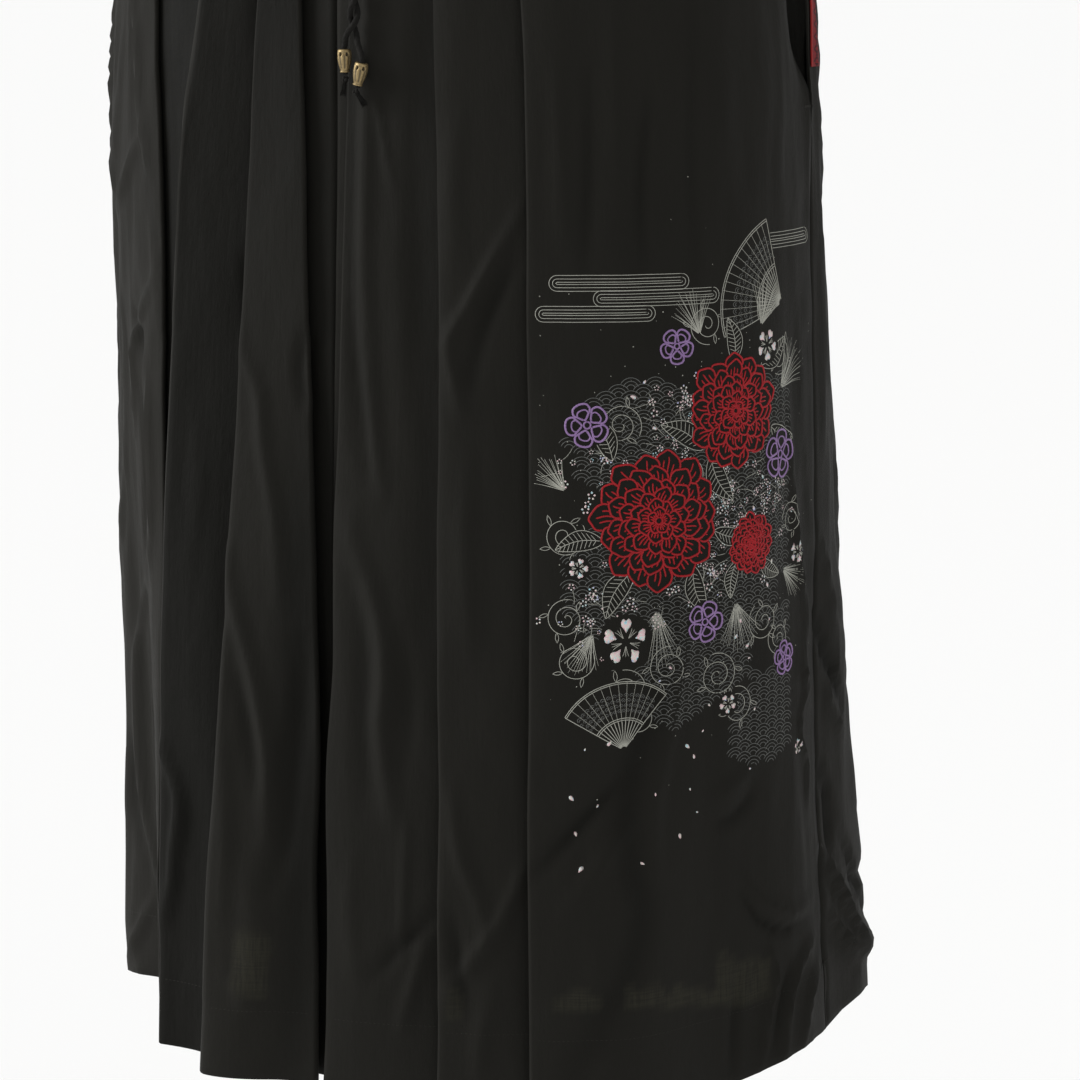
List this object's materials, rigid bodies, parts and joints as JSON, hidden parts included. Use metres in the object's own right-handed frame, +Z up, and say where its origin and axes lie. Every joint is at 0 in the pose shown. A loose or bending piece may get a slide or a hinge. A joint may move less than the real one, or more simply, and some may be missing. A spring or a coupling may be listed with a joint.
{
  "type": "hakama-style skirt",
  "caption": "Long pleated hakama-style skirt, filled out as worn, with a plain waistband, side openings, a beaded drawstring and a side tab.",
  "frame": {"origin": "centre of the waist opening, at the top edge of the waistband", "axes": "+Z up through the waist opening, -Y towards the front, +X towards the wearer's left side"},
  "size_m": [0.5049, 0.4087, 0.8401],
  "materials": {
    "black_crepe": "matt crinkled polyester crepe, slightly sheer",
    "black_cord": "twisted matt cotton cord, frayed at its ends",
    "aged_brass": "worn cast brass, dark in its hollows",
    "red_tape": "woven satin tape",
    "red_thread": "raised rayon chain stitch with a soft sheen",
    "purple_thread": "raised rayon loops with a soft sheen",
    "silver_print": "thin silver-grey pigment print",
    "pearl_foil": "thin pearly foil print",
    "sewing_thread": "fine black polyester thread"
  },
  "bodies": {
    "root": {"waistband": "black_crepe", "front_panel_right": "black_crepe", "front_panel_left": "black_crepe", "back_panel": "black_crepe", "side_tab": "red_tape", "cord_right": "black_cord", "cord_left": "black_cord", "bead_right": "aged_brass", "bead_left": "aged_brass", "tail_right": "black_cord", "tail_left": "black_cord"}
  },
  "joints": []
}
